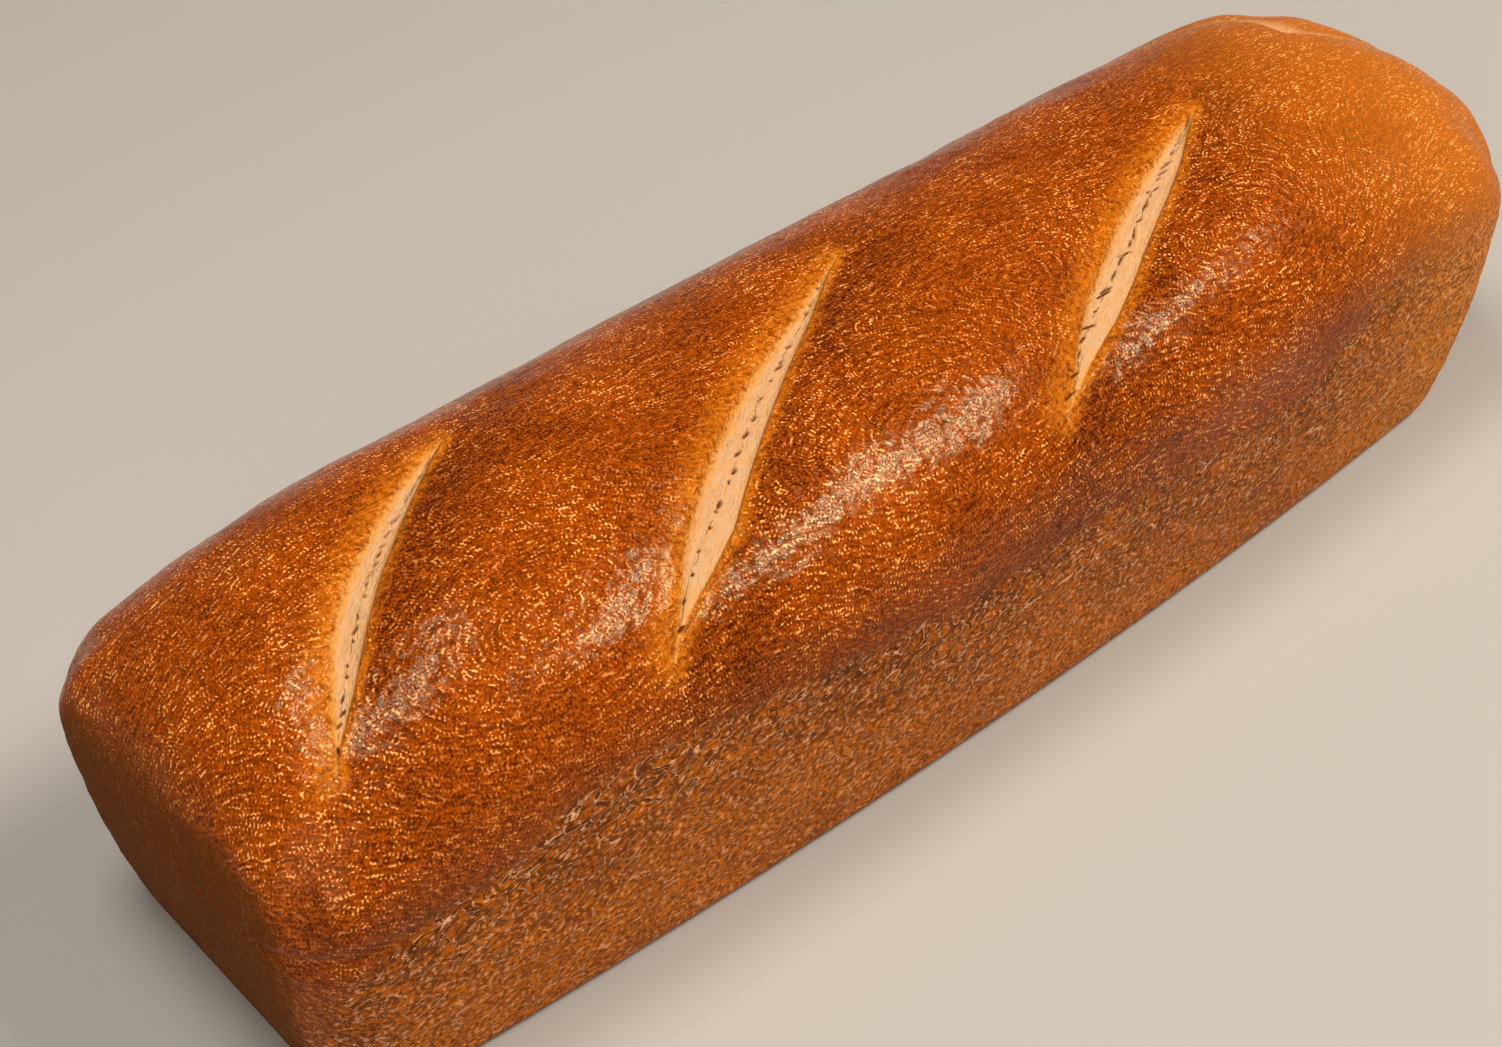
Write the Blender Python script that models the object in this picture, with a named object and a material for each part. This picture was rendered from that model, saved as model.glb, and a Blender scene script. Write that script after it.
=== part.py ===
"""Tin loaf: one long loaf of bread, baked without a lid in a straight-sided tin.

Metres, +Z up. The loaf lies along X, its two ends rounded differently, and stands on a flat
bottom at Z = 0 with the origin under the middle of its box. Low X is the end with the taller
dome. The three slashes run across the top towards low Y, the side that is bowed the most.

The surface is worked out on a subdivided box. Each of its points has box coordinates
u, v and w from -1 to 1, which the functions below turn into a place on the loaf.
"""
import math

import bmesh
import bpy
import numpy as np
from mathutils import Vector

MM = 0.001

# Overall form: a tin-shaped lower part, and a dome that rose out of the tin
SHOULDER_HEIGHT = 57 * MM
SHOULDER_LENGTH = 396 * MM
SHOULDER_WIDTH = 105.5 * MM
FOOT_LENGTH = 379 * MM
FOOT_WIDTH = 95 * MM
FOOT_EDGE_RADIUS = 3 * MM
WALL_BULGE = 1.3 * MM
SIDE_BOW_LOW_Y = 8.3 * MM
SIDE_BOW_HIGH_Y = 1.2 * MM
CORNER_RADIUS_LOW_X = 18 * MM
CORNER_RADIUS_HIGH_X = 33 * MM
DOME_HEIGHT = 41.3 * MM
DOME_HEIGHT_LOSS = 4.4 * MM
END_ROUNDING_LOW_X = 85 * MM
END_ROUNDING_HIGH_X = 54 * MM
DOME_ROUNDNESS = 2.02
DOME_RIM_STEEPNESS = 2.6

# Corners in plan: round at the rim, and squarer further in so that no ridge shows
CORNER_POWER_INNER = 3
CORNER_POWER_GAIN = 20
CORNER_POWER_RISE = 4
CORNER_RIM_BLEND = 20

# The box is centred on the origin, so the unbowed tin shape stands a little to high Y
TIN_MIDDLE_Y = (SIDE_BOW_LOW_Y - SIDE_BOW_HIGH_Y) / 2

# Slashes: upper tip, lower tip, sideways bow, greatest width of the opened cut, and how fast
# it widens from its tips (the lower, the faster)
SLASHES = (
    {"start": (-104.3 * MM, 25.8 * MM), "end": (-173 * MM, -31.2 * MM),
     "bow": 5 * MM, "width": 7.2 * MM, "taper": 0.35},
    {"start": (4 * MM, 17.6 * MM), "end": (-101.5 * MM, -48.7 * MM),
     "bow": 2.2 * MM, "width": 8.4 * MM, "taper": 0.5},
    {"start": (112 * MM, 2.7 * MM), "end": (14.3 * MM, -48.7 * MM),
     "bow": 0.4 * MM, "width": 7.8 * MM, "taper": 0.8},
)
SLASH_DEPTH = 1.3 * MM
SLASH_EDGE = 2.4 * MM
VALLEY_DEPTH = 2.4 * MM
VALLEY_HALF_WIDTH = 12 * MM
VALLEY_OVERRUN = 0.12

# Swellings of the dome between the slashes: middle, height, and reach along and across
SWELL_MIDDLES = ((-88 * MM, -24 * MM), (12 * MM, -24 * MM), (118 * MM, -26 * MM))
SWELL_HEIGHT = 1 * MM
SWELL_REACH_X = 34 * MM
SWELL_REACH_Y = 26 * MM

# Fold near the high X end, where the skin of the dough tore and dropped a step
FOLD_X = 163 * MM
FOLD_Y = 20 * MM
FOLD_HALF_LENGTH = 20 * MM
FOLD_SWEEP = 15.5 * MM
FOLD_TAIL_SLOPE = 1.4
FOLD_TAIL_START = 14.3 * MM
FOLD_DROP = 1.4 * MM
FOLD_STEP = 2.5 * MM
FOLD_FADE = 16 * MM

# Crease round the loaf where the dough met the tin's rim, deeper at the low X, low Y corner
RIM_CREASE_HEIGHT = 55 * MM
RIM_CREASE_DEPTH = 0.25 * MM
RIM_CREASE_CORNER_DEPTH = 1.3 * MM
RIM_CREASE_REACH = 2.6 * MM
RIM_CREASE_CORNER = (-190 * MM, -50 * MM)
RIM_CREASE_CORNER_REACH = 38 * MM

# Hand-made unevenness: height and wavelengths of two slow waves
WAVE_HEIGHT = 0.2 * MM
WAVE_LENGTHS = (118 * MM, 71 * MM)

# Spine inside the loaf, from which the relief points outwards
SPINE_HEIGHT = 48 * MM
SPINE_END_X = 140 * MM

# Cells of the subdivided box
CELLS_LOW_X_END = 15
CELLS_MIDDLE = 48
CELLS_HIGH_X_END = 13
CELLS_ACROSS = 26
CELLS_UP = 7
ROW_CROWDING = 0.85
REFINE_MARGINS = (5.5 * MM, 0.8 * MM)

CRUST_COLOUR = "#A85A1C"
CRUST_ROUGHNESS = 0.5


def clear_scene():
    """Removes the objects that a new file starts with."""
    for old in list(bpy.data.objects):
        bpy.data.objects.remove(old, do_unlink=True)


def linear_colour(text):
    """Turns an sRGB hex value into a linear colour with alpha."""
    parts = [int(text[i:i + 2], 16) / 255 for i in (1, 3, 5)]
    return [p / 12.92 if p <= 0.04045 else ((p + 0.055) / 1.055) ** 2.4 for p in parts] + [1]


def smooth_step(value, low, high):
    """Rises smoothly from 0 at low to 1 at high."""
    t = np.clip((value - low) / (high - low), 0, 1)
    return t * t * (3 - 2 * t)


def along(u):
    """Place along the loaf, from -1 to 1, and how far into an end's rounding that is, to 1.

    Cells are even along the middle and follow equal angles of the rounding at each end.
    """
    cells = CELLS_LOW_X_END + CELLS_MIDDLE + CELLS_HIGH_X_END
    low = -1 + 2 * CELLS_LOW_X_END / cells
    high = 1 - 2 * CELLS_HIGH_X_END / cells
    half = SHOULDER_LENGTH / 2
    low_x = END_ROUNDING_LOW_X - half
    high_x = half - END_ROUNDING_HIGH_X
    power = 2 / DOME_ROUNDNESS
    into_low = np.sin(np.clip((low - u) / (low + 1), 0, 1) * math.pi / 2) ** power
    into_high = np.sin(np.clip((u - high) / (1 - high), 0, 1) * math.pi / 2) ** power
    middle = low_x + (np.clip(u, low, high) - low) / (high - low) * (high_x - low_x)
    x = middle - END_ROUNDING_LOW_X * into_low + END_ROUNDING_HIGH_X * into_high
    return x / half, into_low + into_high


def across(v):
    """Place across the loaf, from -1 to 1, in equal angles of the dome's arch."""
    return np.sign(v) * np.abs(np.sin(v * math.pi / 2)) ** (2 / DOME_ROUNDNESS)


def rounded_norm(first, second):
    """Size of a pair from 0 to 1: contours round off inside and meet the square's rim at 1."""
    out = np.clip(np.maximum(first, second), 1e-6, 1)
    power = CORNER_POWER_INNER + CORNER_POWER_GAIN * out ** CORNER_POWER_RISE
    root = (1 - out ** CORNER_RIM_BLEND) / power
    return out * ((first / out) ** power + (second / out) ** power) ** root


def plan(length_share, width_share, half_length, half_width):
    """Plan of the loaf: a rectangle with bowed long sides and rounded corners."""
    x = length_share * half_length
    bow = np.where(width_share < 0, SIDE_BOW_LOW_Y, SIDE_BOW_HIGH_Y) * (1 - length_share ** 2)
    side = half_width + bow
    y = width_share * side
    radius = np.where(length_share < 0, CORNER_RADIUS_LOW_X, CORNER_RADIUS_HIGH_X)
    past_x = np.clip((np.abs(x) - half_length) / radius + 1, 0, 1)
    past_y = np.clip((np.abs(y) - side) / radius + 1, 0, 1)
    in_corner = (past_x > 0) & (past_y > 0)
    reach = rounded_norm(past_x, past_y) / np.maximum(np.hypot(past_x, past_y), 1e-9)
    x = np.where(in_corner, np.sign(x) * (half_length - radius + radius * past_x * reach), x)
    y = np.where(in_corner, np.sign(y) * (side - radius + radius * past_y * reach), y)
    return x, y + TIN_MIDDLE_Y


def surface(u, v, w):
    """Places on the smooth loaf, before its relief, for box coordinates."""
    length_share, into_end = along(u)
    width_share = across(v)
    rows = (w + 1) / 2
    rise = rows - ROW_CROWDING * np.sin(2 * math.pi * rows) / (2 * math.pi)
    height = rise * SHOULDER_HEIGHT
    grow = WALL_BULGE * np.sin(math.pi * rise)
    under = np.clip(FOOT_EDGE_RADIUS - height, 0, FOOT_EDGE_RADIUS)
    tuck = FOOT_EDGE_RADIUS - np.sqrt(FOOT_EDGE_RADIUS ** 2 - under ** 2)
    half_length = (FOOT_LENGTH + (SHOULDER_LENGTH - FOOT_LENGTH) * rise) / 2 + grow - tuck
    half_width = (FOOT_WIDTH + (SHOULDER_WIDTH - FOOT_WIDTH) * rise) / 2 + grow - tuck
    x, y = plan(length_share, width_share, half_length, half_width)
    end_left = np.clip(1 - into_end ** DOME_ROUNDNESS, 0, 1)
    side_left = np.clip(1 - np.abs(width_share) ** DOME_ROUNDNESS, 0, 1)
    dome = DOME_HEIGHT - DOME_HEIGHT_LOSS * length_share
    dome = dome * (end_left * side_left) ** (1 / DOME_RIM_STEEPNESS)
    return np.stack([x, y, height + np.where(w > 0.999, dome, 0)], axis=-1)


def slash_place(x, y, slash):
    """Share of the way along a slash, and the distance from its bowed middle line."""
    start = np.array(slash["start"])
    run = np.array(slash["end"]) - start
    length = np.hypot(*run)
    run = run / length
    share = ((x - start[0]) * run[0] + (y - start[1]) * run[1]) / length
    aside = run[0] * (y - start[1]) - run[1] * (x - start[0])
    inside = np.clip(share, 0, 1)
    return share, aside + slash["bow"] * 4 * inside * (1 - inside)


def slash_half_width(share, slash):
    """Half the width of the opened cut, which tapers to both tips."""
    return slash["width"] / 2 * np.sin(math.pi * np.clip(share, 0, 1)) ** slash["taper"]


def slash_relief(x, y):
    """Depth of the cuts and of the broad valleys that they lie in."""
    depth = np.zeros_like(x)
    for slash in SLASHES:
        share, aside = slash_place(x, y, slash)
        taper = smooth_step(share, -VALLEY_OVERRUN, 2 * VALLEY_OVERRUN)
        taper = taper * (1 - smooth_step(share, 1 - 2 * VALLEY_OVERRUN, 1 + VALLEY_OVERRUN))
        depth += VALLEY_DEPTH * taper * np.exp(-(aside / VALLEY_HALF_WIDTH) ** 2)
        half = slash_half_width(share, slash)
        cut = 1 - smooth_step(np.abs(aside) - half, -SLASH_EDGE / 2, SLASH_EDGE / 2)
        depth += SLASH_DEPTH * cut * np.minimum(half / SLASH_EDGE, 1)
    return -depth


def swell_relief(x, y):
    """Soft swellings between the slashes."""
    height = np.zeros_like(x)
    for middle_x, middle_y in SWELL_MIDDLES:
        height += SWELL_HEIGHT * np.exp(-((x - middle_x) / SWELL_REACH_X) ** 2
                                        - ((y - middle_y) / SWELL_REACH_Y) ** 2)
    return height


def fold_distance(x, y):
    """Distance past the fold's crest towards high X."""
    crest = FOLD_X - FOLD_SWEEP * (np.clip(y - FOLD_Y, 0, None) / FOLD_HALF_LENGTH) ** 3
    crest = crest + FOLD_TAIL_SLOPE * np.clip(FOLD_TAIL_START - y, 0, None)
    return x - crest


def fold_relief(x, y):
    """Step down past the fold's crest, fading out beyond it and at its two ends."""
    past = fold_distance(x, y)
    step = smooth_step(past, -FOLD_STEP / 2, FOLD_STEP / 2)
    fade = 1 - smooth_step(past, FOLD_STEP, FOLD_FADE)
    ends = np.exp(-((y - FOLD_Y) / (1.1 * FOLD_HALF_LENGTH)) ** 4)
    return -FOLD_DROP * step * fade * ends


def crease_relief(x, y, z):
    """Shallow crease round the loaf at the height of the tin's rim."""
    near = np.hypot(x - RIM_CREASE_CORNER[0], y - RIM_CREASE_CORNER[1])
    extra = (RIM_CREASE_CORNER_DEPTH - RIM_CREASE_DEPTH) * np.exp(-(near / RIM_CREASE_CORNER_REACH) ** 2)
    return -(RIM_CREASE_DEPTH + extra) * np.exp(-((z - RIM_CREASE_HEIGHT) / RIM_CREASE_REACH) ** 2)


def wave_relief(x, y, z):
    """Slow unevenness of hand-shaped dough."""
    first, second = WAVE_LENGTHS
    wave = np.sin(2 * math.pi * (x + 0.6 * y) / first + 0.7) * np.cos(2 * math.pi * (y + z) / first)
    return WAVE_HEIGHT * (wave + 0.6 * np.sin(2 * math.pi * (x - 0.8 * y + z) / second + 2.1))


def outwards(points):
    """Direction from the nearest point of the spine, level below it."""
    spine_x = np.clip(points[:, 0], -SPINE_END_X, SPINE_END_X)
    spine_z = np.maximum(SPINE_HEIGHT - points[:, 2], 0)
    away = points - np.stack([spine_x, np.zeros_like(spine_x), SPINE_HEIGHT - spine_z], axis=-1)
    return away / np.linalg.norm(away, axis=1, keepdims=True)


def relief(points):
    """Distance that each point moves outwards. The bottom stays flat."""
    x, y, z = points.T
    on_dome = smooth_step(z, SHOULDER_HEIGHT, SHOULDER_HEIGHT + DOME_HEIGHT / 3)
    move = (slash_relief(x, y) + swell_relief(x, y) + fold_relief(x, y)) * on_dome
    off_bottom = smooth_step(z, 0, 4 * FOOT_EDGE_RADIUS)
    return move + (crease_relief(x, y, z) + wave_relief(x, y, z)) * off_bottom


def coordinates(bm):
    """The mesh's points, as an array."""
    return np.array([vert.co for vert in bm.verts])


def cut_box(bm):
    """Divides the box into cells, axis by axis."""
    counts = (CELLS_LOW_X_END + CELLS_MIDDLE + CELLS_HIGH_X_END, CELLS_ACROSS, CELLS_UP)
    for axis, count in enumerate(counts):
        edges = []
        for edge in bm.edges:
            run = edge.verts[1].co - edge.verts[0].co
            if abs(run[axis]) > 0.5:
                edges.append(edge)
        bmesh.ops.subdivide_edges(bm, edges=edges, cuts=count - 1, use_grid_fill=True)


def split_to_triangles(bm):
    """Turns every face into triangles."""
    bmesh.ops.triangulate(bm, faces=bm.faces[:], quad_method="SHORT_EDGE")


def refine_relief(bm, margin):
    """Divides the triangles of the top once more along the slashes and the fold."""
    middles = np.array([(edge.verts[0].co + edge.verts[1].co) / 2 for edge in bm.edges])
    x, y, z = surface(*middles.T).T
    wanted = (np.abs(fold_distance(x, y)) < margin) & (np.abs(y - FOLD_Y) < FOLD_HALF_LENGTH)
    for slash in SLASHES:
        share, aside = slash_place(x, y, slash)
        near = np.abs(aside) < slash_half_width(share, slash) + margin
        wanted |= near & (share > -0.03) & (share < 1.03)
    wanted &= middles[:, 2] > 0.999
    edges = [edge for edge, chosen in zip(bm.edges, wanted) if chosen]
    bmesh.ops.subdivide_edges(bm, edges=edges, cuts=1)
    split_to_triangles(bm)


def merge_bottom(bm):
    """Makes one flat face of the bottom's cells."""
    faces = [face for face in bm.faces if all(vert.co.z < -0.999 for vert in face.verts)]
    bmesh.ops.dissolve_faces(bm, faces=faces, use_verts=True)


def place_points(bm):
    """Moves the box's points onto the smooth loaf."""
    for vert, point in zip(bm.verts, surface(*coordinates(bm).T)):
        vert.co = point


def even_out_dome(bm):
    """Turns the edges of the dome's triangles so that none is a sliver."""
    rim = 1.001 * SHOULDER_HEIGHT
    edges = [edge for edge in bm.edges if min(vert.co.z for vert in edge.verts) > rim]
    faces = [face for face in bm.faces if any(vert.co.z > rim for vert in face.verts)]
    bmesh.ops.beautify_fill(bm, faces=faces, edges=edges, method="ANGLE")


def add_relief(bm):
    """Moves the smooth loaf's points by its relief."""
    points = coordinates(bm)
    for vert, move in zip(bm.verts, outwards(points) * relief(points)[:, None]):
        vert.co += Vector(move)


def centre_box(bm):
    """Puts the origin under the middle of the finished loaf's box."""
    points = coordinates(bm)
    low = points.min(axis=0)
    middle = (low + points.max(axis=0)) / 2
    bmesh.ops.translate(bm, verts=bm.verts[:], vec=(-middle[0], -middle[1], -low[2]))


def make_crust_material():
    """Baked crust, one colour for the whole loaf."""
    material = bpy.data.materials.new("baked_crust")
    material.use_nodes = True
    shader = material.node_tree.nodes["Principled BSDF"]
    shader.inputs["Base Color"].default_value = linear_colour(CRUST_COLOUR)
    shader.inputs["Roughness"].default_value = CRUST_ROUGHNESS
    shader.inputs["Metallic"].default_value = 0
    return material


def make_loaf(collection):
    """The loaf, one closed solid."""
    bm = bmesh.new()
    bmesh.ops.create_cube(bm, size=2)
    cut_box(bm)
    merge_bottom(bm)
    split_to_triangles(bm)
    for margin in REFINE_MARGINS:
        refine_relief(bm, margin)
    place_points(bm)
    even_out_dome(bm)
    add_relief(bm)
    centre_box(bm)
    mesh = bpy.data.meshes.new("loaf")
    bm.to_mesh(mesh)
    bm.free()
    mesh.shade_smooth()
    mesh.materials.append(make_crust_material())
    loaf = bpy.data.objects.new("loaf", mesh)
    collection.objects.link(loaf)
    return loaf


def main():
    clear_scene()
    collection = bpy.data.collections.new("tin_loaf")
    bpy.context.scene.collection.children.link(collection)
    make_loaf(collection)


main()
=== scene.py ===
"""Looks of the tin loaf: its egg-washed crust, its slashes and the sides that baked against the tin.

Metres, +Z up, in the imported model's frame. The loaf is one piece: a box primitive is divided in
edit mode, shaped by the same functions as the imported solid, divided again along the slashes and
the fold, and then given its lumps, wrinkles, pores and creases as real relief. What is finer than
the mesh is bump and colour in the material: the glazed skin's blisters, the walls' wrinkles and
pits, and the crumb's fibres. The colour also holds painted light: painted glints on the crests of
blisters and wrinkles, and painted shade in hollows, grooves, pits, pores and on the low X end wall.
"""
import math
from functools import partial
from types import SimpleNamespace

import bpy
import numpy as np
from mathutils import Matrix, Vector, noise


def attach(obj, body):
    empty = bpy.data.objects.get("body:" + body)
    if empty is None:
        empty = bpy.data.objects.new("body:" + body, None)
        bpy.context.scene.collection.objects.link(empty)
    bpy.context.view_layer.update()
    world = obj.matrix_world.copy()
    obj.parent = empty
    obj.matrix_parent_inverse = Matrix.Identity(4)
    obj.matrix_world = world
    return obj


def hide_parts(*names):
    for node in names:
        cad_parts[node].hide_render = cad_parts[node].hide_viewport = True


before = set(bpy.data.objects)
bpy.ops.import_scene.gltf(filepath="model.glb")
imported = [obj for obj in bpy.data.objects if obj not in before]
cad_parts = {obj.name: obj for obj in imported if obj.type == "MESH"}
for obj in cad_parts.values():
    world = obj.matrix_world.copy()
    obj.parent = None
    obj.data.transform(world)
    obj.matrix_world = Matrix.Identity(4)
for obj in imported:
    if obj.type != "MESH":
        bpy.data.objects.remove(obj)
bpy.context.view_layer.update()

MM = 0.001

# Overall form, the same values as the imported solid
SHOULDER_HEIGHT = 57 * MM
SHOULDER_LENGTH = 396 * MM
SHOULDER_WIDTH = 105.5 * MM
FOOT_LENGTH = 379 * MM
FOOT_WIDTH = 95 * MM
FOOT_EDGE_RADIUS = 3 * MM
WALL_BULGE = 1.3 * MM
SIDE_BOW_LOW_Y = 8.3 * MM
SIDE_BOW_HIGH_Y = 1.2 * MM
CORNER_RADIUS_LOW_X = 18 * MM
CORNER_RADIUS_HIGH_X = 33 * MM
DOME_HEIGHT = 41.3 * MM
DOME_HEIGHT_LOSS = 4.4 * MM
END_ROUNDING_LOW_X = 85 * MM
END_ROUNDING_HIGH_X = 54 * MM
DOME_ROUNDNESS = 2.02
DOME_RIM_STEEPNESS = 2.6
CORNER_POWER_INNER = 3
CORNER_POWER_GAIN = 20
CORNER_POWER_RISE = 4
CORNER_RIM_BLEND = 20
TIN_MIDDLE_Y = (SIDE_BOW_LOW_Y - SIDE_BOW_HIGH_Y) / 2

# Slashes: upper tip, lower tip and sideways bow, then the opening's reach to the low X and high X
# sides and the place of its pores (share of the way, mm)
SLASHES = (
    {"start": (-104.3 * MM, 25.8 * MM), "end": (-173 * MM, -31.2 * MM), "bow": 5 * MM,
     "opening": ((0.02, 0, 0), (0.06, 1.6, 0.2), (0.16, 2.8, 1.0), (0.28, 2.9, 1.9), (0.4, 3.3, 2.8),
                 (0.55, 4.2, 3.1), (0.7, 4.0, 3.0), (0.82, 2.6, 2.4), (0.91, 0.8, 1.2), (0.96, 0, 0)),
     "pore_line": ((0.1, -1.0), (0.3, -0.3), (0.5, 0.1), (1, 0.1))},
    {"start": (4 * MM, 17.6 * MM), "end": (-101.5 * MM, -48.7 * MM), "bow": 2.2 * MM,
     "opening": ((0.05, 0, 0), (0.1, 1.1, 0.4), (0.2, 2.0, 1.8), (0.33, 3.2, 2.7), (0.46, 4.0, 3.8),
                 (0.63, 4.0, 4.9), (0.74, 3.3, 5.6), (0.82, 2.6, 4.3), (0.9, 0.9, 2.1), (0.97, 0, 0)),
     "pore_line": ((0.1, -0.5), (0.3, 0), (0.45, 0.2), (0.64, 1.6), (0.8, 0.6), (1, 0.2))},
    {"start": (112 * MM, 2.7 * MM), "end": (14.3 * MM, -48.7 * MM), "bow": 0.4 * MM,
     "opening": ((0.02, 0, 0), (0.08, 2.2, 0.7), (0.18, 3.5, 2.4), (0.3, 4.5, 3.3), (0.45, 4.6, 3.7),
                 (0.6, 4.0, 4.4), (0.72, 3.5, 4.1), (0.82, 2.1, 2.6), (0.9, 0.6, 1.3), (0.97, 0, 0)),
     "pore_line": ((0, -0.4), (0.15, -1.1), (0.35, -0.8), (0.5, 0), (0.7, -0.6), (0.8, -0.9), (1, 0))},
)

# Cuts, at their full depth where they reach 2 mm or more aside, sharp at their high X edge and soft
# at the other, and the broad valleys that they lie in, which run on past their tips. The crumb's
# pattern is stepped on from one slash to the next, so that no two are alike.
SLASH_DEPTH = 1.3 * MM
SLASH_FULL_REACH = 2 * MM
CUT_EDGE_SHARP = 0.8 * MM
CUT_EDGE_SOFT = 1.8 * MM
CUT_PATTERN_STEP = 300 * MM
VALLEY_DEPTH = 2.4 * MM
VALLEY_HALF_WIDTH = 12 * MM
VALLEY_OVERRUN = 0.12

# Swellings of the dome between the slashes
SWELL_MIDDLES = ((-88 * MM, -24 * MM), (12 * MM, -24 * MM), (118 * MM, -26 * MM))
SWELL_HEIGHT = 1 * MM
SWELL_REACH_X = 34 * MM
SWELL_REACH_Y = 26 * MM

# Torn fold near the high X end
FOLD_X = 163 * MM
FOLD_Y = 20 * MM
FOLD_HALF_LENGTH = 20 * MM
FOLD_SWEEP = 15.5 * MM
FOLD_TAIL_SLOPE = 1.4
FOLD_TAIL_START = 14.3 * MM
FOLD_DROP = 1.4 * MM
FOLD_STEP = 2.5 * MM
FOLD_FADE = 16 * MM
FOLD_END_SPREAD = 1.1

# Crease round the loaf at the height of the tin's rim, deeper at the low X, low Y corner
RIM_CREASE_HEIGHT = 55 * MM
RIM_CREASE_DEPTH = 0.25 * MM
RIM_CREASE_CORNER_DEPTH = 1.3 * MM
RIM_CREASE_REACH = 2.6 * MM
RIM_CREASE_CORNER = (-190 * MM, -50 * MM)
RIM_CREASE_CORNER_REACH = 38 * MM

# Two slow waves of hand-shaped dough: height, lengths, and how far each leans and starts
WAVE_HEIGHT = 0.2 * MM
WAVE_LENGTHS = (118 * MM, 71 * MM)
WAVE_SLANTS = (0.6, -0.8)
WAVE_STARTS = (0.7, 2.1)
SECOND_WAVE_SHARE = 0.6

# Relief of the skin: the height of wrinkles, lumps and grain, and their lengths along the three
# axes. The wrinkles slant up towards high X, and fade out above the shoulder.
WRINKLE_RELIEF = 0.5 * MM
WRINKLE_LENGTHS = (9 * MM, 3.2 * MM, 3.2 * MM)
WRINKLE_SLANT = 25
WRINKLE_STRAY = 1.2 * MM
WRINKLE_STRAY_LENGTHS = (5 * MM, 5 * MM, 5 * MM)
WRINKLE_FADE = (SHOULDER_HEIGHT - 4 * MM, SHOULDER_HEIGHT + 8 * MM)
LUMP_RELIEF = 0.35 * MM
LUMP_LENGTHS = (16 * MM, 9 * MM, 9 * MM)
GRAIN_RELIEF = 0.15 * MM
GRAIN_LENGTHS = (5 * MM, 3 * MM, 3 * MM)
SEED_STEP = 17.3

# Where the relief of the dome is at its full height, and that of everything above the bottom
DOME_RELIEF_HEIGHT = SHOULDER_HEIGHT + DOME_HEIGHT / 3
BOTTOM_RELIEF_HEIGHT = 4 * FOOT_EDGE_RADIUS

# Spine inside the loaf, which the relief moves away from
SPINE_HEIGHT = 48 * MM
SPINE_END_X = 140 * MM

# Cells of the fine mesh, about 1.2 mm each, and how far round slashes, fold and pores it is
# divided again
CELLS_LOW_X_END = 76
CELLS_MIDDLE = 210
CELLS_HIGH_X_END = 50
STEPS_ALONG = (8, 42)
STEPS_ACROSS = (2, 60)
STEPS_UP = (40,)
ROW_CROWDING = 0.6
LID_ROW = 0.999
REFINE_ABOVE = SHOULDER_HEIGHT + 5 * MM
REFINE_MARGIN = 2.2 * MM
REFINE_OVERRUN = 0.03
REFINE_PORES = 1.3 * MM
SMOOTH_ANGLE = 50
TINY = 1e-6
NOT_ZERO = 1e-9

# Height where the glazed skin ends and the tin-baked wall begins, along the low Y side, in mm
TIN_LINE = ((-200, 40), (-192, 45), (-180, 52), (-164, 56), (-152, 58), (-131, 66), (-111, 68),
            (-86, 63), (-69, 61), (-46, 57), (-21, 54), (35, 54), (65, 51), (94, 48), (122, 64),
            (165, 62), (200, 58))

# Pores along the middle of each slash: first and last share of the way, mean spacing, half
# length and half width, and how far they wander aside. Each pore draws its own share of those.
PORES = (
    (0.12, 1.0, 3.6 * MM, 0.8 * MM, 0.32 * MM, 0.35 * MM),
    (0.1, 0.99, 4.0 * MM, 0.8 * MM, 0.32 * MM, 0.35 * MM),
    (0.04, 0.97, 3.2 * MM, 1.4 * MM, 0.24 * MM, 0.2 * MM),
)
PORE_DEPTH = 0.8 * MM
PORE_OVERRUN = 0.02
PORE_SEED = 4
PORE_LENGTH_DRAW = (0.35, 1.8)
PORE_WIDTH_DRAW = (0.5, 1.4)
PORE_TILT_DRAW = (-0.7, 0.3)
PORE_SPACING_DRAW = (0.4, 1.8)
PORE_EDGE = (0.6, 1.3)

# Whorls in the skin's blisters, on the swellings: middle, strength, and reach along and across
WHORLS = (
    (-124 * MM, -36 * MM, 60 * MM, 34 * MM, 16 * MM),
    (-22 * MM, -40 * MM, 60 * MM, 34 * MM, 16 * MM),
    (86 * MM, -38 * MM, 50 * MM, 34 * MM, 16 * MM),
)
FLOW_LENGTHWAYS = (-1, 0, 0.15)

# Patterns that several finishes share: blisters and streaks drawn out along the skin's flow,
# soft lumps, and broad patches where the oven browned the crust more or less. Towards the high X
# end the crust is paler and smoother. A pair named EDGE, CREST, RANGE, PATCHES, BREAKS, GAPS or
# TORN gives the noise's levels at which something starts and is full. A TONE is a share of the
# way from a finish's dark colour to its light one. The noise is turned, so that no rows show.
NOISE_MIDDLE = 0.5
SIDE_BLEND = 3 * MM
FLOW_STRAY = 1.3
FLOW_STRAY_LENGTH = 2.4 * MM
LATTICE_TURN = (0.6, 0.45, 0.8)
BLISTER_SHARES = (-0.5, 0.5)
STREAK_SHARES = (-0.5, 0, 0.5)
STREAK_LENGTH = 5 * MM
STREAK_WIDTH = 1.5 * MM
STREAK_RANGE = (0.4, 0.6)
STREAK_TONE = 0.4
LUMP_WIDTH = 2.2 * MM
PATCH_WIDTH = 24 * MM
PATCH_DETAIL = 4
PATCH_TONE = 0.8
FAR_START = 95 * MM
FAR_END = 185 * MM

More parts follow.
